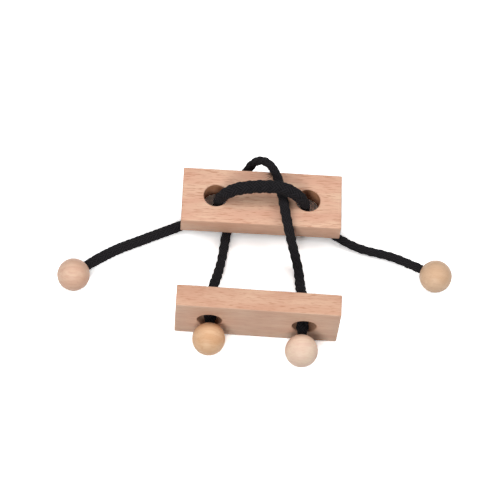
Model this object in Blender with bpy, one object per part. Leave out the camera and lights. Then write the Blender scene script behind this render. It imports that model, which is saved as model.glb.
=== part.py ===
"""Rope puzzle: two drilled beech boards, two braided cords and four beech balls.

The upper board lies flat on the cords. Its own cord goes through both of its
holes and carries a ball at each end. The second cord is a long loop: both of
its ends go through the lower board, which stands on its long edge, and are
stopped there by balls. The loop runs under the upper board, round its rear
edge and back over it, below the bridge of the first cord.

Metres, +Z up. The origin is on the table, below the middle of the boards and
balls. +X runs along the upper board, +Y points away from the lower board.
"""

import math

import bmesh
import bpy
import numpy as np
from mathutils import Matrix, Vector

MM = 0.001

# Boards: both are the same piece
BOARD_LENGTH = 89.0 * MM
BOARD_WIDTH = 33.5 * MM
BOARD_THICKNESS = 12.5 * MM
BOARD_EDGE_EASING = 0.6 * MM
HOLE_SPACING = 51.5 * MM
HOLE_DIAMETER = 13.5 * MM
HOLE_RIM_EASING = 1.0 * MM

# Balls with a blind bore for the cord's end
BALL_DIAMETER = 18.0 * MM
BORE_DEPTH = 10.0 * MM
BORE_CLEARANCE = 0.3 * MM
DRILL_POINT_ANGLE = math.radians(118)
CORD_IN_BORE = 6.5 * MM

# Cords
CORD_DIAMETER = 5.6 * MM
CORD_SEAM = 0.3 * MM

# Clearances between pieces that rest on each other
BOARD_ON_CORD = 0.6 * MM
CORD_ON_BOARD = 0.3 * MM
CORD_IN_HOLE = 0.3 * MM
LEFT_BALL_TO_BOARD = 0.3 * MM
RIGHT_BALL_TO_BOARD = 3.7 * MM

# Places on the table
BOARDS_APART = 70.2 * MM
UPPER_BOARD_AT = (1.75 * MM, 40.8 * MM)
LOWER_BOARD_AT = (1.5 * MM, UPPER_BOARD_AT[1] - BOARDS_APART)
LOWER_BOARD_TURN = math.radians(-0.85)
UPPER_LEFT_BALL_AT = (-99.9 * MM, -8.3 * MM)
UPPER_RIGHT_BALL_AT = (99.9 * MM, 2.5 * MM)

# Where the cord is upright in the upper holes: towards the middle, to the front, above half way
CORD_INWARD = 1.35 * MM
CORD_FORWARD = 2.0 * MM
SEAM_ABOVE_MIDDLE = 0.5 * MM

# How far to the right of their middles the cord lies in the lower holes
LEFT_CORD_ASIDE = 0.3 * MM
RIGHT_CORD_ASIDE = -0.8 * MM

# Way of each bore of the upper balls: angle in plan from +X, and drop
LEFT_BORE_HEADING = math.radians(45.8)
LEFT_BORE_DROP = math.radians(12)
RIGHT_BORE_HEADING = math.radians(146.8)
RIGHT_BORE_DROP = math.radians(13)
BORE_LEAD = 3.0 * MM

# Bends of the upper cord below its board, and above it from these heights over the seams
LOWER_BEND_RADIUS = 9.1 * MM
LOWER_BEND_ANGLES = (9, 28, 47, 65, 82)
UPPER_BEND_RADIUS = 15.0 * MM
UPPER_BEND_ANGLES = (13, 27, 41, 55, 70)
BRIDGE_UPRIGHT = 1.2 * MM
BRIDGE_LEFT_START = 0.0 * MM
BRIDGE_RIGHT_START = 0.6 * MM

# Seams of the lower cord, measured along it from its ends
STUB_LENGTH = 28.0 * MM
LEFT_STRAND_END = 90.0 * MM
RIGHT_STRAND_END = 100.0 * MM

# Fineness of the meshes
BALL_SEGMENTS = 32
BALL_RINGS = 16
HOLE_SEGMENTS = 40
BORE_SEGMENTS = 24
CORD_RESOLUTION = 3
LINE_STEPS = 12
POINT_SPACING = 2.8 * CORD_DIAMETER
POINT_TURN = math.radians(28)
SHORTEST_STEP = 0.2 * MM
SMOOTH_LIMIT = math.radians(30)
CUTTER_OVERSHOOT = 2.0 * MM

# Levels that follow from the sizes
CORD_RADIUS = CORD_DIAMETER / 2
BALL_RADIUS = BALL_DIAMETER / 2
HOLE_RADIUS = HOLE_DIAMETER / 2
UPPER_BOARD_BOTTOM = CORD_DIAMETER + BOARD_ON_CORD
UPPER_BOARD_TOP = UPPER_BOARD_BOTTOM + BOARD_THICKNESS
UPPER_BOARD_MIDDLE = UPPER_BOARD_BOTTOM + BOARD_THICKNESS / 2
HOLE_LEVEL = BOARD_WIDTH / 2
CORD_LEVEL = HOLE_LEVEL - HOLE_RADIUS + CORD_RADIUS + CORD_IN_HOLE
TABLE_LEVEL = CORD_RADIUS
TOP_LEVEL = UPPER_BOARD_TOP + CORD_RADIUS + CORD_ON_BOARD
REAR_EDGE = UPPER_BOARD_AT[1] + BOARD_WIDTH / 2
FRONT_EDGE = UPPER_BOARD_AT[1] - BOARD_WIDTH / 2

BEECH_UPPER = (0.775, 0.482, 0.342, 1.0)
BEECH_LOWER = (0.745, 0.462, 0.331, 1.0)
BALL_LEFT = (0.805, 0.558, 0.418, 1.0)
BALL_RIGHT = (0.755, 0.521, 0.371, 1.0)
BALL_YELLOW = (0.815, 0.533, 0.323, 1.0)
BALL_PALE = (0.896, 0.665, 0.503, 1.0)
CORD_BLACK = (0.022, 0.019, 0.020, 1.0)
BOARD_ROUGHNESS = 0.55
BALL_ROUGHNESS = 0.45
CORD_ROUGHNESS = 0.85


def clear_scene():
    for obj in list(bpy.data.objects):
        bpy.data.objects.remove(obj, do_unlink=True)


def finish(name, colour, roughness):
    """A plain Principled material."""
    made = bpy.data.materials.new(name)
    made.use_nodes = True
    shader = made.node_tree.nodes["Principled BSDF"]
    shader.inputs["Base Color"].default_value = colour
    shader.inputs["Roughness"].default_value = roughness
    shader.inputs["Metallic"].default_value = 0.0
    return made


def add_object(name, data, place=None):
    obj = bpy.data.objects.new(name, data)
    if place is not None:
        obj.matrix_world = place
    bpy.context.scene.collection.objects.link(obj)
    return obj


def mesh_from(name, bm):
    bmesh.ops.recalc_face_normals(bm, faces=bm.faces[:])
    mesh = bpy.data.meshes.new(name)
    bm.to_mesh(mesh)
    bm.free()
    return mesh


def turned(name, profile, segments):
    """A closed body turned about Z from (radius, height) points, bottom to top."""
    bm = bmesh.new()
    rings = []
    for radius, height in profile:
        if radius == 0:
            rings.append([bm.verts.new((0, 0, height))])
            continue
        ring = []
        for step in range(segments):
            angle = math.tau * step / segments
            ring.append(bm.verts.new((radius * math.cos(angle), radius * math.sin(angle), height)))
        rings.append(ring)
    for below, above in zip(rings, rings[1:]):
        for step in range(segments):
            after = (step + 1) % segments
            if len(below) == 1:
                bm.faces.new((below[0], above[after], above[step]))
            elif len(above) == 1:
                bm.faces.new((below[step], below[after], above[0]))
            else:
                bm.faces.new((below[step], below[after], above[after], above[step]))
    if len(rings[0]) > 1:
        bm.faces.new(rings[0][::-1])
    if len(rings[-1]) > 1:
        bm.faces.new(rings[-1])
    return mesh_from(name, bm)


def cut(obj, cutter, place):
    """Take the cutter, placed in the object's own frame, out of the object."""
    cutter.hide_render = True
    cutter.display_type = "WIRE"
    cutter.parent = obj
    cutter.matrix_local = place
    modifier = obj.modifiers.new(cutter.name, "BOOLEAN")
    modifier.operation = "DIFFERENCE"
    modifier.solver = "EXACT"
    modifier.object = cutter


def hole_drill():
    """A through drill that also breaks the rim of the hole at both faces."""
    half = BOARD_THICKNESS / 2
    wide = HOLE_RADIUS + HOLE_RIM_EASING + CUTTER_OVERSHOOT
    return turned("hole_drill", [
        (wide, -half - CUTTER_OVERSHOOT),
        (HOLE_RADIUS, -half + HOLE_RIM_EASING),
        (HOLE_RADIUS, half - HOLE_RIM_EASING),
        (wide, half + CUTTER_OVERSHOOT),
    ], HOLE_SEGMENTS)


def add_board(name, place, material):
    """A board with eased edges and two through holes on its middle line."""
    bm = bmesh.new()
    size = Matrix.Diagonal((BOARD_LENGTH, BOARD_WIDTH, BOARD_THICKNESS, 1))
    bmesh.ops.create_cube(bm, size=1, matrix=size)
    bmesh.ops.bevel(bm, geom=bm.edges[:], offset=BOARD_EDGE_EASING, segments=2,
                    profile=0.5, affect="EDGES", material=-1)
    board = add_object(name, mesh_from(name, bm), place)
    board.data.materials.append(material)
    drill = hole_drill()
    for side, shift in (("left", -HOLE_SPACING / 2), ("right", HOLE_SPACING / 2)):
        cutter = add_object(name + "_drill_" + side, drill)
        cut(board, cutter, Matrix.Translation((shift, 0, 0)))


def bore_drill():
    """A drill along +Z whose point leaves the bore's bottom cone."""
    radius = CORD_RADIUS + BORE_CLEARANCE
    tip = BALL_RADIUS - BORE_DEPTH
    cone = radius / math.tan(DRILL_POINT_ANGLE / 2)
    return turned("bore_drill", [
        (0, tip - cone),
        (radius, tip),
        (radius, BALL_RADIUS + CUTTER_OVERSHOOT),
    ], BORE_SEGMENTS)


def add_ball(name, centre, outward, material):
    """A turned ball whose bore opens along the given way."""
    bm = bmesh.new()
    bmesh.ops.create_uvsphere(bm, u_segments=BALL_SEGMENTS, v_segments=BALL_RINGS,
                              radius=BALL_RADIUS)
    turn = Vector(outward).to_track_quat("Z", "Y").to_matrix().to_4x4()
    mesh = mesh_from(name, bm)
    mesh.shade_smooth()
    mesh.set_sharp_from_angle(angle=SMOOTH_LIMIT)
    ball = add_object(name, mesh, Matrix.Translation(centre) @ turn)
    ball.data.materials.append(material)
    cut(ball, add_object(name + "_drill", bore_drill()), Matrix.Identity(4))


def smooth_line(route):
    """A fine cubic B-spline led by the route's points, held at both ends."""
    led = [Vector(point) for point in route]
    led.insert(0, 2 * led[0] - led[1])
    led.append(2 * led[-1] - led[-2])
    fine = []
    for index in range(len(led) - 3):
        a, b, c, d = led[index:index + 4]
        for step in range(LINE_STEPS):
            t = step / LINE_STEPS
            fine.append(((1 - t) ** 3 * a + (3 * t ** 3 - 6 * t ** 2 + 4) * b
                         + (-3 * t ** 3 + 3 * t ** 2 + 3 * t + 1) * c + t ** 3 * d) / 6)
    fine.append(led[-2])
    return np.array([tuple(point) for point in fine])


def tube_points(fine):
    """Points under three diameters apart on the fine line, and closer in its bends."""
    runs = np.diff(fine, axis=0)
    steps = np.linalg.norm(runs, axis=1)
    ways = runs / steps[:, None]
    turns = np.arccos(np.clip((ways[1:] * ways[:-1]).sum(axis=1), -1, 1))
    turns = np.concatenate([[0], turns])
    weight = np.concatenate([[0], np.cumsum(steps / POINT_SPACING + turns / POINT_TURN)])
    count = max(2, math.ceil(weight[-1]) + 1)
    wanted = np.linspace(0, weight[-1], count)
    # a point just inside each end keeps the cap square to the cord
    wanted = np.concatenate([[0, weight[1]], wanted[1:-1], [weight[-2], weight[-1]]])
    return np.stack([np.interp(wanted, weight, fine[:, axis]) for axis in range(3)], axis=1)


def add_cord(name, fine, origin, material):
    """A stretch of cord as a capped round tube, its origin on the given point."""
    points = tube_points(fine)
    curve = bpy.data.curves.new(name, "CURVE")
    curve.dimensions = "3D"
    curve.bevel_depth = CORD_RADIUS
    curve.bevel_resolution = CORD_RESOLUTION
    curve.use_fill_caps = True
    line = curve.splines.new("POLY")
    line.points.add(len(points) - 1)
    for index, point in enumerate(points):
        line.points[index].co = (*(Vector(point) - Vector(origin)), 1)
    curve.materials.append(material)
    add_object(name, curve, Matrix.Translation(origin))


def trimmed(fine, start, end):
    """The fine line without the first and the last lengths given."""
    along = np.concatenate([[0], np.cumsum(np.linalg.norm(np.diff(fine, axis=0), axis=1))])
    first = [np.interp(start, along, fine[:, axis]) for axis in range(3)]
    last = [np.interp(along[-1] - end, along, fine[:, axis]) for axis in range(3)]
    kept = fine[(along > start + SHORTEST_STEP) & (along < along[-1] - end - SHORTEST_STEP)]
    return np.vstack([first, kept, last])


def length_of(fine):
    return np.linalg.norm(np.diff(fine, axis=0), axis=1).sum()


def bend(foot, heading, radius, degrees, rise):
    """Points of a quarter bend that leaves the vertical at foot, up or down."""
    way = Vector((heading[0], heading[1], 0)).normalized()
    points = []
    for angle in degrees:
        out = radius * (1 - math.cos(math.radians(angle)))
        height = rise * radius * math.sin(math.radians(angle))
        points.append(Vector(foot) + way * out + Vector((0, 0, height)))
    return points


def route(level, edge, *points):
    """Route points in millimetres: X, Y from the given edge, height over the given level."""
    return [Vector((x * MM, edge + y * MM, level + lift * MM)) for x, y, lift in points]


def bore_points(ball, way):
    """The straight run into a ball's bore, from outside to the cord's end."""
    inner = BALL_RADIUS - CORD_IN_BORE
    middle = (BALL_RADIUS + inner) / 2
    return [ball + way * (BALL_RADIUS + BORE_LEAD), ball + way * middle, ball + way * inner]


def unit(heading, drop):
    return Vector((math.cos(heading) * math.cos(drop), math.sin(heading) * math.cos(drop),
                   -math.sin(drop)))


clear_scene()

# Both boards

upper_place = Matrix.Translation((*UPPER_BOARD_AT, UPPER_BOARD_MIDDLE))
lower_place = (Matrix.Translation((*LOWER_BOARD_AT, HOLE_LEVEL))
               @ Matrix.Rotation(LOWER_BOARD_TURN, 4, "Z")
               @ Matrix.Rotation(math.radians(90), 4, "X"))
add_board("upper_block", upper_place, finish("beech upper", BEECH_UPPER, BOARD_ROUGHNESS))
add_board("lower_block", lower_place, finish("beech lower", BEECH_LOWER, BOARD_ROUGHNESS))

# Places of the cords in the holes

upper_x, upper_y = UPPER_BOARD_AT
seam_level = UPPER_BOARD_MIDDLE + SEAM_ABOVE_MIDDLE
seam_left = Vector((upper_x - HOLE_SPACING / 2 + CORD_INWARD, upper_y - CORD_FORWARD, seam_level))
seam_right = Vector((upper_x + HOLE_SPACING / 2 - CORD_INWARD, upper_y - CORD_FORWARD, seam_level))
front = Vector((math.sin(LOWER_BOARD_TURN), -math.cos(LOWER_BOARD_TURN), 0))
beside = Vector((math.cos(LOWER_BOARD_TURN), math.sin(LOWER_BOARD_TURN), 0))
lower_middle = Vector((*LOWER_BOARD_AT, CORD_LEVEL))
hole_left = lower_middle + beside * (LEFT_CORD_ASIDE - HOLE_SPACING / 2)
hole_right = lower_middle + beside * (RIGHT_CORD_ASIDE + HOLE_SPACING / 2)

# Balls

ball_left = Vector((*UPPER_LEFT_BALL_AT, BALL_RADIUS))
ball_right = Vector((*UPPER_RIGHT_BALL_AT, BALL_RADIUS))
bore_left = unit(LEFT_BORE_HEADING, LEFT_BORE_DROP)
bore_right = unit(RIGHT_BORE_HEADING, RIGHT_BORE_DROP)
half_board = BOARD_THICKNESS / 2
stop_left = hole_left + front * (half_board + LEFT_BALL_TO_BOARD + BALL_RADIUS)
stop_right = hole_right + front * (half_board + RIGHT_BALL_TO_BOARD + BALL_RADIUS)
add_ball("upper_left_ball", ball_left, bore_left, finish("ball pink", BALL_LEFT, BALL_ROUGHNESS))
add_ball("upper_right_ball", ball_right, bore_right, finish("ball tan", BALL_RIGHT, BALL_ROUGHNESS))
add_ball("lower_left_ball", stop_left, -front, finish("ball yellow", BALL_YELLOW, BALL_ROUGHNESS))
add_ball("lower_right_ball", stop_right, -front, finish("ball pale", BALL_PALE, BALL_ROUGHNESS))

# Cord of the upper board: a stretch to each ball, and the bridge over the board

bend_foot = TABLE_LEVEL + LOWER_BEND_RADIUS
left_foot = Vector((seam_left.x, seam_left.y, bend_foot))
right_foot = Vector((seam_right.x, seam_right.y, bend_foot))

left_route = [seam_left]
left_route += bend(left_foot, (-23.4, -11.8), LOWER_BEND_RADIUS, LOWER_BEND_ANGLES, -1)
left_route += route(TABLE_LEVEL, 0,
                    (-32.4, 33.9, 0), (-35.8, 32.2, 0), (-40.4, 29.8, 0), (-46.0, 27.0, 0),
                    (-52.0, 24.1, 0), (-58.5, 21.0, 0), (-65.0, 17.7, 0), (-72.0, 14.4, 0.1),
                    (-78.3, 10.9, 0.5), (-83.6, 6.9, 1.6))
left_route += bore_points(ball_left, bore_left)

right_route = [seam_right]
right_route += bend(right_foot, (22.1, -13.8), LOWER_BEND_RADIUS, LOWER_BEND_ANGLES, -1)
right_route += route(TABLE_LEVEL, 0,
                     (35.4, 33.0, 0), (38.6, 31.0, 0), (43.0, 28.2, 0), (48.2, 25.0, 0),
                     (54.0, 21.9, 0), (61.0, 19.4, 0), (68.0, 18.2, 0), (75.0, 16.5, 0.2),
                     (81.0, 14.1, 1.0), (86.0, 11.0, 2.4))
right_route += bore_points(ball_right, bore_right)

up = Vector((0, 0, 1))
bridge_route = [seam_left, seam_left + up * BRIDGE_UPRIGHT]
bridge_route += bend(seam_left + up * BRIDGE_LEFT_START, (12.0, 2.6), UPPER_BEND_RADIUS,
                     UPPER_BEND_ANGLES, 1)
bridge_route += route(TOP_LEVEL, 0,
                      (-8.6, 41.5, 6.1), (-4.2, 42.2, 6.4), (0.8, 42.6, 6.7), (6.2, 42.7, 6.9),
                      (11.4, 42.5, 7.0))
bridge_route += bend(seam_right + up * BRIDGE_RIGHT_START, (-12.5, 3.2), UPPER_BEND_RADIUS,
                     UPPER_BEND_ANGLES[::-1], 1)
bridge_route += [seam_right + up * BRIDGE_UPRIGHT, seam_right]

# Cord of the lower board: ball, hole, loop round the upper board, hole, ball

left_start = bore_points(stop_left, -front)[::-1]
right_end = bore_points(stop_right, -front)
loop_route = left_start[:2]
loop_route += [hole_left + front * reach * MM for reach in (4.0, -2.0, -8.0, -13.5)]
loop_route += route(TABLE_LEVEL, 0,
                    (-22.3, -9.4, 8.9), (-21.1, -4.7, 6.2), (-20.3, 0.2, 3.3), (-19.3, 5.5, 0.9),
                    (-18.4, 11.7, 0), (-17.7, 18.7, 0), (-16.9, 25.7, 0), (-15.6, 32.7, 0),
                    (-14.0, 39.7, 0), (-12.5, 46.7, 0))
loop_route += route(TABLE_LEVEL, REAR_EDGE,
                    (-11.1, -4.3, 0), (-9.9, 0.2, 0), (-8.3, 4.4, 0.7), (-6.4, 7.7, 3.2),
                    (-4.1, 9.5, 7.0), (-1.6, 9.3, 11.2))
loop_route += route(TOP_LEVEL, REAR_EDGE,
                    (1.3, 7.5, -3.8), (4.5, 4.4, -0.9), (7.4, 0.4, 0.3), (10.0, -5.0, 0.1),
                    (11.8, -11.0, 0), (13.0, -16.9, 0))
loop_route += route(TOP_LEVEL, FRONT_EDGE,
                    (14.1, 10.6, 0), (15.1, 5.0, 0.4), (16.2, -0.4, 0.4), (17.5, -4.8, -1.6),
                    (18.9, -8.2, -5.3))
loop_route += route(TABLE_LEVEL, 0,
                    (20.5, 12.8, 8.9), (22.2, 9.4, 4.9), (23.7, 5.1, 1.8), (24.7, -0.3, 0.7),
                    (25.0, -5.8, 2.7), (25.3, -10.5, 6.3), (25.8, -14.9, 9.3))
loop_route += [hole_right + front * reach * MM for reach in (-10.6, -5.0, 0.5, 6.0)]
loop_route += right_end[1:]

braid = finish("black braid", CORD_BLACK, CORD_ROUGHNESS)
half_seam = CORD_SEAM / 2

bridge_line = smooth_line(bridge_route)
left_line = smooth_line(left_route)
right_line = smooth_line(right_route)
loop_line = smooth_line(loop_route)

add_cord("upper_cord_bridge", trimmed(bridge_line, half_seam, half_seam), seam_left, braid)
add_cord("upper_cord_left", trimmed(left_line, half_seam, 0), seam_left, braid)
add_cord("upper_cord_right", trimmed(right_line, half_seam, 0), seam_right, braid)

total = length_of(loop_line)
seams = (STUB_LENGTH, LEFT_STRAND_END, total - RIGHT_STRAND_END, total - STUB_LENGTH)
names = ("lower_cord_left_stub", "lower_cord_left", "lower_cord_loop", "lower_cord_right",
         "lower_cord_right_stub")
starts = (0,) + tuple(seam + half_seam for seam in seams)
ends = tuple(seam - half_seam for seam in seams) + (total,)
for name, start, end in zip(names, starts, ends):
    line = trimmed(loop_line, start, total - end)
    add_cord(name, line, line[0], braid)

upper_length = length_of(bridge_line) + length_of(left_line) + length_of(right_line)
print("upper cord", round(upper_length / MM, 1), "mm")
print("lower cord", round(total / MM, 1), "mm")
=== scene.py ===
# %% [markdown]
# # A rope puzzle in beech and black cord
#
# The real thing is made of eight pieces: two drilled beech boards, four turned
# balls and two plaited cords. One cord runs through the upper board. The other
# runs through the lower board, round the upper one, and below the first cord.
# In this lesson each piece is modelled at its real size and given its finish, and
# the pieces that ride on a board or a ball are set on that body.

# %% Load the imported model
import math

import bmesh
import bpy
import numpy as np
from mathutils import Matrix, Vector


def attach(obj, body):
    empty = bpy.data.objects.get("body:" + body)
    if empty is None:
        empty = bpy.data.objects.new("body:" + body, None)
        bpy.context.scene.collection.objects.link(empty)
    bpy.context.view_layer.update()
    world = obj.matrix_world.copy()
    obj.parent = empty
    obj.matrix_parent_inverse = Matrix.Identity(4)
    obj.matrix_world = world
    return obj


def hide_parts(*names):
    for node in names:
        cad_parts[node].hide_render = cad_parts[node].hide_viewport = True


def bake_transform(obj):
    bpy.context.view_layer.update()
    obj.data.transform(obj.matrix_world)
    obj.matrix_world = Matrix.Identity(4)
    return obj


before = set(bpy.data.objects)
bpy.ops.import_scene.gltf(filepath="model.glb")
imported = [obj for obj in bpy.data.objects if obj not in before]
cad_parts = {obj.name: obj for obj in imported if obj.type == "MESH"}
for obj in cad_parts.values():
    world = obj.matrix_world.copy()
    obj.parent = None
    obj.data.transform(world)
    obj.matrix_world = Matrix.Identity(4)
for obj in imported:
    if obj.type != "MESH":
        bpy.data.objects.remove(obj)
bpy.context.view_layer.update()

# %% [markdown]
# Everything is measured in millimetres on the real object, and Blender works in
# metres, so one factor turns the first into the second. Places less than a
# thousandth of a millimetre apart count as the same. Four helpers follow. The
# first turns a bmesh into a finished object whose place is in its mesh. Its
# faces are turned outwards, because a spin or a mirror can leave them inside
# out. The next picks the vertices out of what a bmesh operator returns. The last
# two give a heading from an angle in plan and a drop, and turn a thing to face
# along a heading.

# %% Units and helpers
MM = 0.001
NEAR = 1e-6
SHARP_ANGLE = math.radians(35)


def new_piece(name, bm, *materials):
    """A finished piece from a bmesh, smooth but for its sharp edges."""
    bmesh.ops.recalc_face_normals(bm, faces=bm.faces[:])
    mesh = bpy.data.meshes.new(name)
    bm.to_mesh(mesh)
    bm.free()
    mesh.shade_smooth()
    mesh.set_sharp_from_angle(angle=SHARP_ANGLE)
    piece = bpy.data.objects.new(name, mesh)
    bpy.context.scene.collection.objects.link(piece)
    for material in materials:
        mesh.materials.append(material)
    print(name, len(mesh.polygons), "faces")
    return piece


def vertices_of(geometry):
    """The vertices among what a bmesh operator returns."""
    return [item for item in geometry if isinstance(item, bmesh.types.BMVert)]


def unit(heading, drop):
    """A unit vector that points along heading and falls by drop."""
    level = math.cos(drop)
    return Vector((math.cos(heading) * level, math.sin(heading) * level, -math.sin(drop)))


def faced(way, axis="Z"):
    """The turn that points a thing's own axis along way."""
    return way.to_track_quat(axis, "Y").to_matrix().to_4x4()


# %% [markdown]
# The camera comes first, because every later choice is judged through it. The
# photograph was taken from a little over a metre away, steeply from above, with
# a long lens and a slight turn about the line of sight. A camera looks along its
# own minus Z, so its turn is made from that heading, and the slight turn is
# added about the camera's own Z.

# %% Camera
CAMERA_AT = Vector((-41.1, -513.9, 1044.7)) * MM
CAMERA_HEADING = Vector((0.0323, 0.4530, -0.8909))
CAMERA_TURN = math.radians(6.75)
SENSOR_WIDTH = 36.0
FOCAL_LENGTH = 150.82
camera_data = bpy.data.cameras.new("camera")
camera_data.sensor_width = SENSOR_WIDTH
camera_data.lens = FOCAL_LENGTH
camera = bpy.data.objects.new("camera", camera_data)
camera.matrix_world = (Matrix.Translation(CAMERA_AT) @ faced(CAMERA_HEADING, "-Z")
                       @ Matrix.Rotation(CAMERA_TURN, 4, "Z"))
bpy.context.scene.collection.objects.link(camera)
bpy.context.scene.camera = camera
print("camera distance", round(CAMERA_AT.length / MM), "mm")

# %% [markdown]
# The sizes of the pieces follow. A ball is 18 mm across, a common stock size,
# and the boards are about five balls long. The cord is 5.6 mm thick. The levels
# say how the pieces lie on each other: the upper board rests on the cords, and
# the lower board stands on its long edge, with its cord in the bottom of its
# holes.

# %% Sizes
BOARD_LENGTH = 89.0 * MM
BOARD_WIDTH = 33.5 * MM
BOARD_THICKNESS = 12.5 * MM
HOLE_SPACING = 51.5 * MM
HOLE_RADIUS = 6.75 * MM
BALL_RADIUS = 9.0 * MM
CORD_RADIUS = 2.8 * MM
CORD_IN_BORE = 6.5 * MM
BORE_LEAD = 3 * MM
UPPER_BOARD_AT = Vector((1.75, 40.8, 12.45)) * MM
LOWER_BOARD_AT = Vector((1.5, -29.4, 16.75)) * MM
LOWER_BOARD_TURN = math.radians(-0.85)
TABLE_LEVEL = CORD_RADIUS
TOP_LEVEL = 21.8 * MM
HOLE_CORD_LEVEL = 13.1 * MM
REAR_EDGE = UPPER_BOARD_AT.y + BOARD_WIDTH / 2
FRONT_EDGE = UPPER_BOARD_AT.y - BOARD_WIDTH / 2

# %% [markdown]
# A cord follows a smooth line that is led by a few route points. A cubic
# B-spline stays inside the hull of its points, so it never swings below the
# table or into a board as an interpolating curve can. Held at both ends, it
# starts and stops exactly at its first and last point.

# %% Smooth lines and route helpers
LINE_STEPS = 12


def smooth_line(route):
    """A fine cubic B-spline led by the route's points, held at both ends."""
    led = [Vector(point) for point in route]
    led.insert(0, 2 * led[0] - led[1])
    led.append(2 * led[-1] - led[-2])
    fine = []
    for index in range(len(led) - 3):
        a, b, c, d = led[index:index + 4]
        for step in range(LINE_STEPS):
            t = step / LINE_STEPS
            fine.append(((1 - t) ** 3 * a + (3 * t ** 3 - 6 * t ** 2 + 4) * b
                         + (-3 * t ** 3 + 3 * t ** 2 + 3 * t + 1) * c + t ** 3 * d) / 6)
    fine.append(led[-2])
    return np.array([tuple(point) for point in fine])


def bend(foot, heading, radius, degrees, rise):
    """Points of a quarter bend that leaves the vertical at foot, up or down."""
    way = Vector((heading[0], heading[1], 0)).normalized()
    points = []
    for angle in degrees:
        out = radius * (1 - math.cos(math.radians(angle)))
        height = rise * radius * math.sin(math.radians(angle))
        points.append(Vector(foot) + way * out + Vector((0, 0, height)))
    return points


def route(level, edge, *points):
    """Route points in millimetres: X, Y from the given edge, height over the level."""
    return [Vector((x * MM, edge + y * MM, level + lift * MM)) for x, y, lift in points]


def bore_points(ball, way):
    """The straight run into a ball's bore, from outside to the cord's end."""
    inner = BALL_RADIUS - CORD_IN_BORE
    middle = (BALL_RADIUS + inner) / 2
    return [ball + way * (BALL_RADIUS + BORE_LEAD), ball + way * middle, ball + way * inner]


# %% [markdown]
# The places where cords meet wood are settled next. In each upper hole the cord
# stands a little towards the middle and the front, because it is pulled both
# ways there. Each ball has a blind bore, and the bore's direction is the way the
# cord comes in. Of the two lower balls the left one all but touches the front of
# its board, and the right one hangs a few millimetres in front of it.

# %% Places in the holes and the balls
LEFT_CORD_ASIDE = 0.3 * MM
RIGHT_CORD_ASIDE = 0.8 * MM
LEFT_BALL_GAP = 0.3 * MM
RIGHT_BALL_GAP = 3.7 * MM
seam_left = Vector((-22.65, 38.8, 12.95)) * MM
seam_right = Vector((26.15, 38.8, 12.95)) * MM
front = Vector((math.sin(LOWER_BOARD_TURN), -math.cos(LOWER_BOARD_TURN), 0))
beside = Vector((math.cos(LOWER_BOARD_TURN), math.sin(LOWER_BOARD_TURN), 0))
lower_middle = Vector((LOWER_BOARD_AT.x, LOWER_BOARD_AT.y, HOLE_CORD_LEVEL))
hole_left = lower_middle + beside * (LEFT_CORD_ASIDE - HOLE_SPACING / 2)
hole_right = lower_middle + beside * (HOLE_SPACING / 2 - RIGHT_CORD_ASIDE)
ball_left = Vector((-99.9 * MM, -8.3 * MM, BALL_RADIUS))
ball_right = Vector((99.9 * MM, 2.5 * MM, BALL_RADIUS))
bore_left = unit(math.radians(45.8), math.radians(12))
bore_right = unit(math.radians(146.8), math.radians(13))
stop_left = hole_left + front * (BOARD_THICKNESS / 2 + LEFT_BALL_GAP + BALL_RADIUS)
stop_right = hole_right + front * (BOARD_THICKNESS / 2 + RIGHT_BALL_GAP + BALL_RADIUS)

# %% [markdown]
# The upper cord has three stretches. Two leave the board's underside, bend onto
# the table and run out to their balls. The third is the bridge, which rises out
# of one hole, passes over the lower cord in a long low hump, and goes down the
# other hole. The cord turns tightest below the board, where it has only ten
# millimetres of height for a quarter turn. Its radius there is about one and a
# half times its thickness.

# %% Routes of the upper cord
UNDER_BEND = (9, 28, 47, 65, 82)
UNDER_RADIUS = 9.1 * MM
OVER_BEND = (13, 27, 41, 55, 70)
OVER_RADIUS = 15 * MM
RISING, FALLING = 1, -1
FOOT_LEVEL = 11.9 * MM
foot_left = Vector((seam_left.x, seam_left.y, FOOT_LEVEL))
foot_right = Vector((seam_right.x, seam_right.y, FOOT_LEVEL))
left_route = [seam_left]
left_route += bend(foot_left, (-23.4, -11.8), UNDER_RADIUS, UNDER_BEND, FALLING)
left_route += route(TABLE_LEVEL, 0,
                    (-32.4, 33.9, 0), (-35.8, 32.2, 0), (-40.4, 29.8, 0), (-46.0, 27.0, 0),
                    (-52.0, 24.1, 0), (-58.5, 21.0, 0), (-65.0, 17.7, 0), (-72.0, 14.4, 0.1),
                    (-78.3, 10.9, 0.5), (-83.6, 6.9, 1.6))
left_route += bore_points(ball_left, bore_left)
right_route = [seam_right]
right_route += bend(foot_right, (22.1, -13.8), UNDER_RADIUS, UNDER_BEND, FALLING)
right_route += route(TABLE_LEVEL, 0,
                     (35.4, 33.0, 0), (38.6, 31.0, 0), (43.0, 28.2, 0), (48.2, 25.0, 0),
                     (54.0, 21.9, 0), (61.0, 19.4, 0), (68.0, 18.2, 0), (75.0, 16.5, 0.2),
                     (81.0, 14.1, 1.0), (86.0, 11.0, 2.4))
right_route += bore_points(ball_right, bore_right)
up = Vector((0, 0, MM))
bridge_route = [seam_left, seam_left + up * 1.2]
bridge_route += bend(seam_left, (12.0, 2.6), OVER_RADIUS, OVER_BEND, RISING)
bridge_route += route(TOP_LEVEL, 0,
                      (-8.6, 41.5, 6.1), (-4.2, 42.2, 6.4), (0.8, 42.6, 6.7),
                      (6.2, 42.7, 6.9), (11.4, 42.5, 7.0))
bridge_route += bend(seam_right + up * 0.6, (-12.5, 3.2), OVER_RADIUS,
                     OVER_BEND[::-1], RISING)
bridge_route += [seam_right + up * 1.2, seam_right]

# %% [markdown]
# The lower cord is one long loop. It starts in the left ball, goes through the
# standing board, runs along the table under the upper board, climbs round its
# rear edge, comes back over its top below the bridge, and goes down to the
# table and through the second hole to the right ball.

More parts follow.
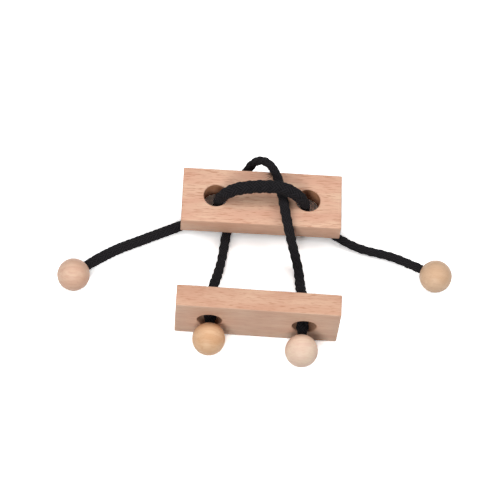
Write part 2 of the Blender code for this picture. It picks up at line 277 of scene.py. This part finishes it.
# %% Route of the lower cord
loop_route = bore_points(stop_left, -front)[::-1][:2]
loop_route += [hole_left + front * reach * MM for reach in (4.0, -2.0, -8.0, -13.5)]
loop_route += route(TABLE_LEVEL, 0,
                    (-22.3, -9.4, 8.9), (-21.1, -4.7, 6.2), (-20.3, 0.2, 3.3),
                    (-19.3, 5.5, 0.9), (-18.4, 11.7, 0), (-17.7, 18.7, 0), (-16.9, 25.7, 0),
                    (-15.6, 32.7, 0), (-14.0, 39.7, 0), (-12.5, 46.7, 0))
loop_route += route(TABLE_LEVEL, REAR_EDGE,
                    (-11.1, -4.3, 0), (-9.9, 0.2, 0), (-8.3, 4.4, 0.7), (-6.4, 7.7, 3.2),
                    (-4.1, 9.5, 7.0), (-1.6, 9.3, 11.2))
loop_route += route(TOP_LEVEL, REAR_EDGE,
                    (1.3, 7.5, -3.8), (4.5, 4.4, -0.9), (7.4, 0.4, 0.3), (10.0, -5.0, 0.1),
                    (11.8, -11.0, 0), (13.0, -16.9, 0))
loop_route += route(TOP_LEVEL, FRONT_EDGE,
                    (14.1, 10.6, 0), (15.1, 5.0, 0.4), (16.2, -0.4, 0.4), (17.5, -4.8, -1.6),
                    (18.9, -8.2, -5.3))
loop_route += route(TABLE_LEVEL, 0,
                    (20.5, 12.8, 8.9), (22.2, 9.4, 4.9), (23.7, 5.1, 1.8), (24.7, -0.3, 0.7),
                    (25.0, -5.8, 2.7), (25.3, -10.5, 6.3), (25.8, -14.9, 9.3))
loop_route += [hole_right + front * reach * MM for reach in (-10.6, -5.0, 0.5, 6.0)]
loop_route += bore_points(stop_right, -front)[1:]

# %% [markdown]
# A plait needs a direction across the cord at every point, and that direction
# mustn't spin by itself where the line bends. Both cords start out nearly level,
# so the first direction is a level one. Parallel transport does the rest: each
# step carries the last direction along and only takes out what now points down
# the line. It runs over the whole cord at once, so the plait goes on without a
# break from one stretch to the next. A limp plait isn't equally wide everywhere:
# it is drawn thin where it is pulled and spreads where it lies slack. So a few
# places, as shares of the cord's length, say how wide and how high it is there.
# Only the bridge, which has room above and below, swells in height as well.

# %% Measure each whole cord
FINE_STEP = 0.5 * MM


def measured(line, *places):
    """Length along the line, points, two ways across and swelling at each step."""
    along = np.concatenate([[0], np.cumsum(np.linalg.norm(np.diff(line, axis=0), axis=1))])
    stations = np.linspace(0, along[-1], int(along[-1] / FINE_STEP) + 1)
    points = np.stack([np.interp(stations, along, line[:, axis]) for axis in range(3)],
                      axis=1)
    ways = np.gradient(points, axis=0)
    ways /= np.linalg.norm(ways, axis=1)[:, None]
    across = np.zeros_like(ways)
    carried = np.cross(ways[0], (0.0, 0.0, 1.0))
    for index, way in enumerate(ways):
        carried = carried - way * carried.dot(way)
        carried = carried / np.linalg.norm(carried)
        across[index] = carried
    shares, wide, high = zip(*places)
    spread = np.stack([np.interp(stations / along[-1], shares, swell)
                       for swell in (wide, wide, high)], axis=1)
    return stations, points, across, np.cross(ways, across), spread


left_line, right_line = smooth_line(left_route), smooth_line(right_route)
bridge_line = smooth_line(bridge_route)
upper_cord = measured(np.vstack([left_line[::-1], bridge_line[1:], right_line[1:]]),
                      (0.0, 1.06, 1.0), (0.03, 1.06, 1.0), (0.06, 1.16, 1.0),
                      (0.32, 1.14, 1.0), (0.34, 1.0, 1.0), (0.38, 1.0, 1.0),
                      (0.40, 1.22, 1.0), (0.46, 1.42, 1.2), (0.57, 1.45, 1.2),
                      (0.63, 1.22, 1.0), (0.65, 1.0, 1.0), (0.69, 0.97, 1.0),
                      (0.76, 0.90, 1.0), (0.84, 0.91, 1.0), (1.0, 0.98, 1.0))
lower_cord = measured(smooth_line(loop_route),
                      (0.0, 1.0, 1.0), (0.027, 1.02, 1.0), (0.04, 1.30, 1.0),
                      (0.075, 1.28, 1.0), (0.10, 1.10, 1.0), (0.15, 1.04, 1.0),
                      (0.20, 0.96, 1.0), (0.26, 1.03, 1.0), (0.34, 1.0, 1.0),
                      (0.42, 1.10, 1.0), (0.45, 1.0, 1.0), (0.475, 0.92, 1.0),
                      (0.545, 0.92, 1.0), (0.59, 1.05, 1.0), (0.64, 1.08, 1.0),
                      (0.72, 1.03, 1.0), (0.78, 1.03, 1.0), (0.84, 1.10, 1.0),
                      (0.90, 1.12, 1.0), (0.915, 1.30, 1.0), (0.955, 1.28, 1.0),
                      (0.972, 1.02, 1.0), (1.0, 1.0, 1.0))
print("upper cord", round(upper_cord[0][-1] / MM, 1), "mm")
print("lower cord", round(lower_cord[0][-1] / MM, 1), "mm")

# %% [markdown]
# The cord is a round plait of eight strands. Four wind one way and four the
# other, and each goes over one and under one. A strand here is a flat grid that
# is rolled into place: one way of the grid runs along the cord, the other goes
# round the strand's own section, with three soft ridges for its yarns. The
# radius rises and falls where the strand meets those that wind the other way.

# %% Plait settings
PLAIT_PITCH = 22.0 * MM
STRAND_RADIUS = 1.88 * MM
STRAND_WEAVE = 0.36 * MM
STRAND_OUTER = 0.56 * MM
STRAND_INNER = 0.22 * MM
STRAND_HALF_WIDTH = 0.76
STRANDS_EACH_WAY = 4
YARN_WAVE = 1.5 * math.pi
YARN_SOFTNESS = 0.7
YARN_RELIEF = 0.28
CORE_RADIUS = 1.30 * MM
CORE_POINTS = 11
OUTER_POINTS = 13
INNER_POINTS = 4
WELD = 1e-7


def strand_section():
    """Across the strand from -1 to 1 and back, with the height over its middle."""
    out = np.linspace(-1, 1, OUTER_POINTS)
    crown = np.sqrt(np.clip(1 - out ** 2, 0, 1))
    ridges = np.abs(np.cos(YARN_WAVE * out)) ** YARN_SOFTNESS
    high = STRAND_OUTER * crown * (1 - YARN_RELIEF + YARN_RELIEF * ridges)
    back = np.linspace(1, -1, INNER_POINTS + 2)[1:]
    low = -STRAND_INNER * np.sqrt(np.clip(1 - back ** 2, 0, 1))
    return np.concatenate([out, back]), np.concatenate([high, low])


# %% [markdown]
# One function rolls a grid round the cord's line. It is given, for each station
# and each point of the section, the angle round the cord and the radius. The
# grid's two long edges meet, so they are welded, and the two open ends are
# filled. A vertex attribute keeps how far across the strand a point lies, which
# the material uses later for the yarns. The spread swells the cord sideways in X
# and Y, and upwards in Z, because its height is mostly set by what it lies between.

# %% Roll one grid round a line
def roll(bm, yarn, centres, across, up, spread, angle, radius, mark):
    """Add one closed strand to the bmesh, rolled from a flat grid."""
    rings, count = angle.shape
    grid = bmesh.ops.create_grid(bm, x_segments=count - 1, y_segments=rings - 1, size=1.0)
    flat = grid["verts"]
    for vert in flat:
        column = round((vert.co.x + 1) / 2 * (count - 1))
        row = round((vert.co.y + 1) / 2 * (rings - 1))
        turn, far = angle[row, column], radius[row, column]
        way = across[row] * math.cos(turn) + up[row] * math.sin(turn)
        vert.co = Vector(centres[row] + way * far * spread[row])
        vert[yarn] = mark[column]
    bmesh.ops.remove_doubles(bm, verts=flat, dist=WELD)


def plait(name, cord, start, end):
    """One stretch of plaited cord, from start to end along the whole cord."""
    stations, *fields = cord
    count = round((end - start) / FINE_STEP) + 1
    at = np.linspace(start, end, count)
    centres, side, top, spread = (np.stack([np.interp(at, stations, column)
                                            for column in field.T], axis=1)
                                  for field in fields)
    section, height = strand_section()
    bm = bmesh.new()
    yarn = bm.verts.layers.float.new("yarn")
    wind = math.tau * at[:, None] / PLAIT_PITCH
    for hand in (1, -1):
        for strand in range(STRANDS_EACH_WAY):
            begin = strand * math.tau / STRANDS_EACH_WAY
            angle = hand * wind + begin + section[None, :] * STRAND_HALF_WIDTH
            weave = np.cos(2 * (angle + hand * wind) - strand * math.pi)
            radius = STRAND_RADIUS + hand * STRAND_WEAVE * weave + height[None, :]
            roll(bm, yarn, centres, side, top, spread, angle, radius, section)
    round_core = np.broadcast_to(np.linspace(0, math.tau, CORE_POINTS), (count, CORE_POINTS))
    roll(bm, yarn, centres, side, top, spread, round_core,
         np.full(round_core.shape, CORE_RADIUS), np.zeros(CORE_POINTS))
    bmesh.ops.holes_fill(bm, edges=[edge for edge in bm.edges if edge.is_boundary], sides=0)
    return new_piece(name, bm, braid), centres


# %% [markdown]
# Colours are easiest to read as the hex values of a paint chart, which are sRGB,
# while shader sockets want linear light. One function turns the first into the
# second. Another adds a node, sets its options and links or fills its sockets.
# Three short ones build on it: one step of arithmetic, a mix of two colours and
# a fine relief. One more starts a material with its roughness and its shine.

# %% Colour and node helpers
def paint(code):
    """A linear colour from an sRGB hex value."""
    parts = [int(code[place:place + 2], 16) / 255 for place in (1, 3, 5)]
    linear = [part / 12.92 if part <= 0.04045 else ((part + 0.055) / 1.055) ** 2.4
              for part in parts]
    return (*linear, 1.0)


def add_node(tree, kind, sockets=None, **options):
    """Add a node with its options, its socket values and its links."""
    node = tree.nodes.new(kind)
    for option, value in options.items():
        setattr(node, option, value)
    for socket, value in (sockets or {}).items():
        if isinstance(value, bpy.types.NodeSocket):
            tree.links.new(value, node.inputs[socket])
        else:
            node.inputs[socket].default_value = value
    return node


def maths(tree, operation, *values):
    """One step of arithmetic on one or two values."""
    return add_node(tree, "ShaderNodeMath", dict(enumerate(values)),
                    operation=operation).outputs[0]


def tint(tree, amount, first, second):
    """Goes from the first colour to the second by the amount."""
    return add_node(tree, "ShaderNodeMix", {0: amount, 6: first, 7: second},
                    data_type="RGBA").outputs[2]


def fresh_material(name, roughness, shine):
    """A new material with its node tree and its shader."""
    material = bpy.data.materials.new(name)
    material.use_nodes = True
    shader = material.node_tree.nodes["Principled BSDF"]
    shader.inputs["Roughness"].default_value = roughness
    shader.inputs["Specular IOR Level"].default_value = shine
    return material, material.node_tree, shader


def relief(tree, shader, height, depth, strength):
    """Let a pattern raise and lower the surface a little."""
    bump = add_node(tree, "ShaderNodeBump",
                    {"Height": height, "Distance": depth, "Strength": strength})
    tree.links.new(bump.outputs["Normal"], shader.inputs["Normal"])


# %% [markdown]
# The cord is a matt black plait of spun polyester. Its fibres scatter light at a
# grazing angle, so it has some sheen and a high roughness. Painted shade makes
# the grooves between the yarns darker than their backs, and the fibres run
# slightly unevenly, so the colour follows the yarn attribute and a fine noise of
# about 0.4 mm.

# %% Matt black plaited polyester
FIBRE_SIZE = 0.4 * MM
FIBRE_RELIEF = 0.08 * MM
braid, tree, shader = fresh_material("matt black plaited polyester", 0.82, 0.08)
shader.inputs["Sheen Weight"].default_value = 0.05
shader.inputs["Sheen Roughness"].default_value = 0.5
place = add_node(tree, "ShaderNodeTexCoord").outputs["Object"]
fibres = add_node(tree, "ShaderNodeTexNoise",
                  {"Vector": place, "Scale": 1 / FIBRE_SIZE, "Detail": 3.0})
# Painted shade: the yarn mark darkens the colour towards the grooves between the yarns.
yarn_mark = add_node(tree, "ShaderNodeAttribute", attribute_name="yarn")
wave = maths(tree, "MULTIPLY", yarn_mark.outputs["Fac"], YARN_WAVE)
back = maths(tree, "ABSOLUTE", maths(tree, "COSINE", wave))
lit = maths(tree, "MULTIPLY", back, fibres.outputs["Fac"])
shade = tint(tree, lit, paint("#040404"), paint("#3D3A3E"))
tree.links.new(shade, shader.inputs["Base Color"])
relief(tree, shader, fibres.outputs["Fac"], FIBRE_RELIEF, 0.6)

# %% [markdown]
# Now the stretches themselves. Each lies where its solid lies. The bridge goes
# with the upper board, and the stretches out to the balls stay where they lie.

# %% Upper cord
def length_of(line):
    """The length of a line of points."""
    return float(np.linalg.norm(np.diff(line, axis=0), axis=1).sum())


left_length = length_of(left_line)
bridge_end = left_length + length_of(bridge_line)
upper_total, lower_total = upper_cord[0][-1], lower_cord[0][-1]
bridge, bridge_path = plait("plait_bridge", upper_cord, left_length, bridge_end)
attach(bridge, "upper_board")
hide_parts("upper_cord_bridge")

left_end, left_path = plait("plait_upper_left", upper_cord, 0, left_length)
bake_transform(left_end)
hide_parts("upper_cord_left")

right_end, right_path = plait("plait_upper_right", upper_cord, bridge_end, upper_total)
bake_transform(right_end)
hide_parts("upper_cord_right")

# %% [markdown]
# The lower cord is cut into stretches in places that no one sees: behind the
# lower board's holes, under the upper board, and below the bridge. The loop
# round the upper board stays with it, and the other stretches stay where they lie.

# %% Lower cord
STUB_LENGTH = 28 * MM
LEFT_SEAM = 90 * MM
RIGHT_SEAM = lower_total - 100 * MM
RIGHT_STUB_SEAM = lower_total - STUB_LENGTH
loop, loop_path = plait("plait_loop", lower_cord, LEFT_SEAM, RIGHT_SEAM)
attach(loop, "upper_board")
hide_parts("lower_cord_loop")

left_stub, _ = plait("plait_left_stub", lower_cord, 0, STUB_LENGTH)
right_stub, _ = plait("plait_right_stub", lower_cord, RIGHT_STUB_SEAM, lower_total)
for stub, node, hole in ((left_stub, "lower_cord_left_stub", hole_left),
                         (right_stub, "lower_cord_right_stub", hole_right)):
    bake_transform(stub)
    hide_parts(node)

left_strand, left_strand_path = plait("plait_lower_left", lower_cord, STUB_LENGTH, LEFT_SEAM)
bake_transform(left_strand)
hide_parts("lower_cord_left")

right_strand, right_strand_path = plait("plait_lower_right", lower_cord, RIGHT_SEAM,
                                        RIGHT_STUB_SEAM)
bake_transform(right_strand)
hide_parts("lower_cord_right")

# %% [markdown]
# Where the loop comes over the board's rear edge it has been rubbed, and a small
# tuft of broken fibres stands out of it. Each fibre is a thin cone that is laid
# along its own direction. From one to the next its heading and its drop in
# degrees and its length in millimetres go on by a fixed step and start again
# past the end of their range, which fans them out without any pattern showing.

# %% Tuft of stray fibres
TUFT_AT = Vector((7.3, 54.0, 22.3)) * MM
TUFT_FIBRES = 11
FIBRE_FOOT, FIBRE_TIP = 0.16 * MM, 0.04 * MM


def stepped(index, first, step, span):
    """A value that goes on by a step from the first and stays within the span."""
    return first + (index * step) % span


tuft_bm = bmesh.new()
for index in range(TUFT_FIBRES):
    heading, drop = stepped(index, 152, 37, 62), stepped(index, -30, 29, 50)
    way = unit(math.radians(heading), math.radians(drop))
    long = stepped(index, 2.8, 0.7, 2.4) * MM
    root = TUFT_AT + Vector((0.3, 0.5 * math.sin(index), 0.4 * math.cos(index))) * MM
    laid = Matrix.Translation(root + way * long / 2) @ faced(way)
    bmesh.ops.create_cone(tuft_bm, cap_ends=True, segments=5, radius1=FIBRE_FOOT,
                          radius2=FIBRE_TIP, depth=long, matrix=laid)
tuft = new_piece("stray_fibres", tuft_bm, braid)
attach(tuft, "upper_board")

# %% [markdown]
# Beech is a pale pinkish wood with a very even ground. What gives it away are
# its rays: short dark flecks of a few millimetres along the grain and half a
# millimetre across. Below them lie soft growth bands and broad blotches, rosier
# in some places and yellower in others. Each is a noise drawn out along the
# board, in sizes along and across the grain taken from the real wood. How
# plainly the rays show depends on the cut, so each board has flecked faces one
# way and calm ones the other. The lower board's calm faces are painted a little
# lighter than its edges, as painted light from the front. The walls of the holes
# show drilled end grain and are painted darker with painted shade, the upper
# board's more than the lower board's.

# %% Beech grain
BLOTCH = (24 * MM, 7 * MM)
BAND = (40 * MM, 1.3 * MM)
RAY = (5.5 * MM, 0.42 * MM)
PORE = (1.2 * MM, 0.14 * MM)
PORE_RELIEF = 0.03 * MM


def drawn_out(tree, place, size, centre, detail):
    """Noise drawn out along the grain, with its size along and across."""
    along, across = size
    fitted = add_node(tree, "ShaderNodeMapping",
                      {"Vector": place, "Location": centre,
                       "Scale": (1 / along, 1 / across, 1 / across)})
    return add_node(tree, "ShaderNodeTexNoise",
                    {"Vector": fitted.outputs["Vector"], "Scale": 1.0, "Detail": detail}
                    ).outputs["Fac"]


def between(tree, value, low, high):
    """Where a pattern lies between low and high, as 0 to 1."""
    return add_node(tree, "ShaderNodeMapRange",
                    {"Value": value, "From Min": low, "From Max": high}).outputs["Result"]


def beech(name, ground, rosy, fleck, seed, flecks=0.8, roughness=0.5, shine=0.2):
    """Sanded or turned beech, from its ground colour, its rosy bands and its flecks."""
    material, tree, shader = fresh_material(name, roughness, shine)
    place = add_node(tree, "ShaderNodeTexCoord").outputs["Object"]
    broad = drawn_out(tree, place, BLOTCH, (seed, 0, 0), 1.0)
    bands = drawn_out(tree, place, BAND, (0, seed, 0), 3.0)
    rays = drawn_out(tree, place, RAY, (0, 0, seed), 2.0)
    pores = drawn_out(tree, place, PORE, (seed, seed, 0), 1.0)
    colour = tint(tree, between(tree, broad, 0.35, 0.68), paint(ground), paint(rosy))
    colour = tint(tree, between(tree, bands, 0.44, 0.80), colour, paint(rosy))
    marked = maths(tree, "MULTIPLY", between(tree, rays, 0.53, 0.66), flecks)
    colour = tint(tree, marked, colour, paint(fleck))
    tree.links.new(colour, shader.inputs["Base Color"])
    relief(tree, shader, pores, PORE_RELIEF, 0.25)
    return material


CALM = 0.3
upper_woods = (
    beech("sanded beech, flecked, upper board", "#F3CAAD", "#E8B499", "#C98D70", 0.0),
    beech("sanded beech, calm, upper board", "#F3C9AD", "#E9B79B", "#C6896C", 0.0, CALM),
    # Drilled end grain, painted darker with shade for the insides of the holes.
    beech("drilled beech with painted shade, upper holes", "#CC9878", "#B68060", "#966848", 8.1, 0.6, 0.65))
lower_woods = (
    # Painted a little lighter than the edges, as painted light on the broad faces.
    beech("sanded beech, calm, lower board", "#F2CEB4", "#E6BAA0", "#C48A70", 4.3, CALM),
    beech("sanded beech, flecked, lower board", "#EBC0A3", "#DEAB8F", "#C28568", 4.3, 0.7),
    # Drilled end grain with lighter painted shade for the insides of the holes.
    beech("drilled beech with lighter painted shade, lower holes", "#DDB295", "#C9987A", "#A87A5E", 8.1, 0.6, 0.65))

# %% [markdown]
# A board is a flat face with two round holes, drawn out to its thickness. Filling
# such a face with triangles leaves long thin slivers that bevel badly. So each
# hole's rim is bridged to a square round it, corner to corner, the two squares
# are bridged to each other, and their outer sides are drawn out to the board's
# ends. That gives clean quads, and the bevels of edges and rims follow them. As
# long as the board still lies flat, how much a face looks up or down tells the
# holes' walls and the board's sides from its flat faces, and so which wood the
# face gets.

# %% Drilled boards
RIM_SEGMENTS = 64
RIM_MARGIN = 0.1 * MM
RIM_EASINGS = (1.0 * MM, 0.6 * MM)
EDGE_EASING = 0.6 * MM
EDGE_ANGLE = math.radians(60)
WALL_LOOKS_UP, SIDE_LOOKS_UP = 0.3, 0.6


def side_edges(bm, x):
    """The edges of the flat face that lie on the line at x."""
    return [edge for edge in bm.edges
            if all(abs(vert.co.x - x) < NEAR for vert in edge.verts)]


def board_face(bm):
    """The flat face of a board with its two holes, in clean quads."""
    half = BOARD_WIDTH / 2
    for middle in (-HOLE_SPACING / 2, HOLE_SPACING / 2):
        rim = bmesh.ops.create_circle(bm, segments=RIM_SEGMENTS, radius=HOLE_RADIUS)["verts"]
        square = bmesh.ops.create_circle(bm, segments=RIM_SEGMENTS, radius=half)["verts"]
        for vert in square:
            vert.co *= half / max(abs(vert.co.x), abs(vert.co.y))
        loops = {edge for vert in rim + square for edge in vert.link_edges}
        bmesh.ops.bridge_loops(bm, edges=list(loops))
        bmesh.ops.translate(bm, verts=rim + square, vec=(middle, 0, 0))
    inner = HOLE_SPACING / 2 - half
    bmesh.ops.bridge_loops(bm, edges=side_edges(bm, -inner) + side_edges(bm, inner))
    outer = HOLE_SPACING / 2 + half
    for side in (-1, 1):
        drawn = bmesh.ops.extrude_edge_only(bm, edges=side_edges(bm, side * outer))["geom"]
        bmesh.ops.translate(bm, verts=vertices_of(drawn),
                            vec=(side * (BOARD_LENGTH / 2 - outer), 0, 0))


def in_hole(point, reach):
    """True where a point lies within reach of a hole's axis."""
    return math.hypot(abs(point.x) - HOLE_SPACING / 2, point.y) < reach


def drilled_board(name, place, woods):
    """A board drawn out from its face, eased, with its woods for faces, edges and holes."""
    bm = bmesh.new()
    board_face(bm)
    drawn = bmesh.ops.extrude_face_region(bm, geom=bm.faces[:])["geom"]
    bmesh.ops.translate(bm, verts=vertices_of(drawn), vec=(0, 0, BOARD_THICKNESS))
    bmesh.ops.translate(bm, verts=bm.verts[:], vec=(0, 0, -BOARD_THICKNESS / 2))
    bmesh.ops.recalc_face_normals(bm, faces=bm.faces[:])
    sharp = [edge for edge in bm.edges if edge.calc_face_angle(0) > EDGE_ANGLE]
    rims = [edge for edge in sharp if in_hole(edge.verts[0].co, HOLE_RADIUS + RIM_MARGIN)]
    edges = [edge for edge in sharp if edge not in rims]
    for side, easing in zip((-1, 1), RIM_EASINGS):
        bmesh.ops.bevel(bm, geom=[edge for edge in rims if edge.is_valid
                                  and edge.verts[0].co.z * side > 0],
                        offset=easing, segments=4, profile=0.5, affect="EDGES", material=-1)
    bmesh.ops.bevel(bm, geom=edges, offset=EDGE_EASING, segments=3, profile=0.5,
                    affect="EDGES", material=-1)
    for face in bm.faces:
        middle, looks_up = face.calc_center_median(), abs(face.normal.z)
        # Index 2 is the holes' walls, whose wood carries painted shade.
        if in_hole(middle, HOLE_RADIUS) and looks_up < WALL_LOOKS_UP:
            face.material_index = 2
        elif looks_up < SIDE_LOOKS_UP and not in_hole(middle, 2 * HOLE_RADIUS):
            face.material_index = 1
    bmesh.ops.transform(bm, matrix=place, verts=bm.verts[:])
    print(name, "open edges", sum(not edge.is_manifold for edge in bm.edges))
    return new_piece(name, bm, *woods)


upper_place = Matrix.Translation(UPPER_BOARD_AT)
lower_place = (Matrix.Translation(LOWER_BOARD_AT) @ Matrix.Rotation(LOWER_BOARD_TURN, 4, "Z")
               @ Matrix.Rotation(math.radians(90), 4, "X"))
for name, node, body, slot, place, woods in (
        ("board_upper", "upper_block", "upper_board", "beech_upper",
         upper_place, upper_woods),
        ("board_lower", "lower_block", "lower_board", "beech_lower",
         lower_place, lower_woods)):
    board = drilled_board(name, place, woods)
    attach(board, body)
    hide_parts(node)

# %% [markdown]
# A turned ball is the clearest case for a spin. A single point is swept through
# a half circle for the outline, its last point is drawn down for the wall of the
# blind bore and in to the drill's point, and the whole line is spun once round.
# The rim of the bore is then rounded, as sanding leaves it.

# %% Turned balls
BORE_RADIUS = 3.1 * MM
BORE_DEPTH = 10.0 * MM
DRILL_HALF_ANGLE = math.radians(59)
BORE_CONE = BORE_RADIUS / math.tan(DRILL_HALF_ANGLE)
LIP_EASING = 0.35 * MM
OUTLINE_STEPS = 40
BALL_STEPS = 72


def turned_ball(name, centre, outward, wood):
    """A ball with a blind bore that opens along the given way."""
    bm = bmesh.new()
    start = bm.verts.new((0, 0, -BALL_RADIUS))
    sweep = math.pi - math.asin(BORE_RADIUS / BALL_RADIUS)
    arc = bmesh.ops.spin(bm, geom=[start], cent=(0, 0, 0), axis=(0, -1, 0), angle=sweep,
                         steps=OUTLINE_STEPS)["geom_last"]
    lip = vertices_of(arc)[0]
    lip_level = lip.co.z
    bottom = bm.verts.new((lip.co.x, 0, BALL_RADIUS - BORE_DEPTH))
    tip = bm.verts.new((0, 0, BALL_RADIUS - BORE_DEPTH - BORE_CONE))
    bm.edges.new((lip, bottom))
    bm.edges.new((bottom, tip))
    bmesh.ops.spin(bm, geom=bm.verts[:] + bm.edges[:], cent=(0, 0, 0), axis=(0, 0, 1),
                   angle=math.tau, steps=BALL_STEPS, use_merge=True)
    bmesh.ops.remove_doubles(bm, verts=bm.verts[:], dist=NEAR)
    bmesh.ops.recalc_face_normals(bm, faces=bm.faces[:])
    lips = [edge for edge in bm.edges
            if all(abs(vert.co.z - lip_level) < NEAR
                   and vert.co.xy.length < BORE_RADIUS + NEAR for vert in edge.verts)]
    bmesh.ops.bevel(bm, geom=lips, offset=LIP_EASING, segments=3, profile=0.5,
                    affect="EDGES", material=-1)
    bmesh.ops.transform(bm, matrix=Matrix.Translation(centre) @ faced(outward),
                        verts=bm.verts[:])
    print(name, "open edges", sum(not edge.is_manifold for edge in bm.edges))
    return new_piece(name, bm, wood)


# %% [markdown]
# The four balls are of the same beech and still differ, because each was turned
# from another piece of it. The upper left one is pinker, the upper right one
# tan, the lower left one yellower and the lower right one the palest. Turned and
# sanded round, they are smoother than the boards and show softer flecks.

# %% Ball woods
SMOOTH = (0.3, 0.45, 0.3)
pink_beech = beech("turned beech, pinkish", "#F1CCB2", "#E5B69B", "#D29E82", 1.7, *SMOOTH)
tan_beech = beech("turned beech, tan", "#F1CDAC", "#E2B995", "#CA9C77", 2.9, *SMOOTH)
yellow_beech = beech("turned beech, yellowish", "#F4CDA6", "#E4B389", "#CE9A70", 6.2, *SMOOTH)
pale_beech = beech("turned beech, palest", "#F9DFC7", "#EECAB5", "#DBB096", 7.4, *SMOOTH)
for name, node, body, slot, centre, way, wood in (
        ("ball_upper_left", "upper_left_ball", "upper_left_stop", "ball_pink",
         ball_left, bore_left, pink_beech),
        ("ball_upper_right", "upper_right_ball", "upper_right_stop", "ball_tan",
         ball_right, bore_right, tan_beech),
        ("ball_lower_left", "lower_left_ball", "lower_left_stop", "ball_yellow",
         stop_left, -front, yellow_beech),
        ("ball_lower_right", "lower_right_ball", "lower_right_stop", "ball_pale",
         stop_right, -front, pale_beech)):
    ball = turned_ball(name, centre, way, wood)
    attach(ball, body)
    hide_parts(node)

# %% [markdown]
# The photograph has a white ground with hardly any shadow, and yet the holes are
# dark inside. A matt floor gives both. What the camera sees of it is brighter
# than the floor that lights the object, so the open ground is white, a faint
# shadow stays, and where no light comes in, as below a board, it stays dark.

# %% Floor
FLOOR_HALF_WIDTH = 1.0
FLOOR_AS_SEEN = 2.2
floor_bm = bmesh.new()
bmesh.ops.create_grid(floor_bm, x_segments=1, y_segments=1, size=FLOOR_HALF_WIDTH)
white_floor = bpy.data.materials.new("matt white paper")
white_floor.use_nodes = True
tree = white_floor.node_tree
path = add_node(tree, "ShaderNodeLightPath").outputs
seen = maths(tree, "MAXIMUM", path["Is Camera Ray"], path["Is Glossy Ray"])
seen = maths(tree, "MAXIMUM", seen, path["Is Transmission Ray"])
as_seen = (FLOOR_AS_SEEN, FLOOR_AS_SEEN, FLOOR_AS_SEEN, 1.0)
ground = add_node(tree, "ShaderNodeBsdfDiffuse",
                  {"Color": tint(tree, seen, paint("#5E5D5B"), as_seen)})
tree.links.new(ground.outputs[0], tree.nodes["Material Output"].inputs["Surface"])
floor = new_piece("floor", floor_bm, white_floor)

# %% [markdown]
# Four soft boxes stand round the puzzle: one on each side, one high behind it and
# a strong one low in front for the boards' fronts. None hangs straight above, so
# hardly any light falls down through the holes, and the ground under the boards
# stays dark. The world fills the rest. Their sum is plain: a face that looks up
# renders about as it is written.

# %% Light
def soft_box(name, at, size, watts):
    """A square area lamp that faces the middle of the puzzle."""
    lamp = bpy.data.lights.new(name, "AREA")
    lamp.shape = "SQUARE"
    lamp.size = size
    lamp.energy = watts
    holder = bpy.data.objects.new(name, lamp)
    at = Vector(at)
    holder.matrix_world = Matrix.Translation(at) @ faced(-at, "-Z")
    bpy.context.scene.collection.objects.link(holder)


for name, at, size, watts in (
        ("soft_box_left", (-1.15, 0.00, 1.10), 0.9, 6.7),
        ("soft_box_right", (1.10, 0.10, 1.00), 0.9, 7.2),
        ("soft_box_behind", (-0.10, 0.65, 1.45), 0.7, 7.2),
        ("soft_box_in_front", (-0.30, -1.36, 1.00), 0.75, 15.2)):
    soft_box(name, at, size, watts)

WORLD_LIGHT = 0.06
world =bpy.data.worlds.new("white studio")
bpy.context.scene.world = world
world.use_nodes = True
sky = world.node_tree
looked_at = add_node(sky, "ShaderNodeLightPath").outputs["Is Camera Ray"]
level = add_node(sky, "ShaderNodeMapRange",
                 {"Value": looked_at, "To Min": WORLD_LIGHT, "To Max": 1.0}).outputs["Result"]
glow = sky.nodes["Background"]
glow.inputs["Color"].default_value = paint("#FFFFFF")
sky.links.new(level, glow.inputs["Strength"])
bpy.context.scene.view_settings.view_transform = "Standard"
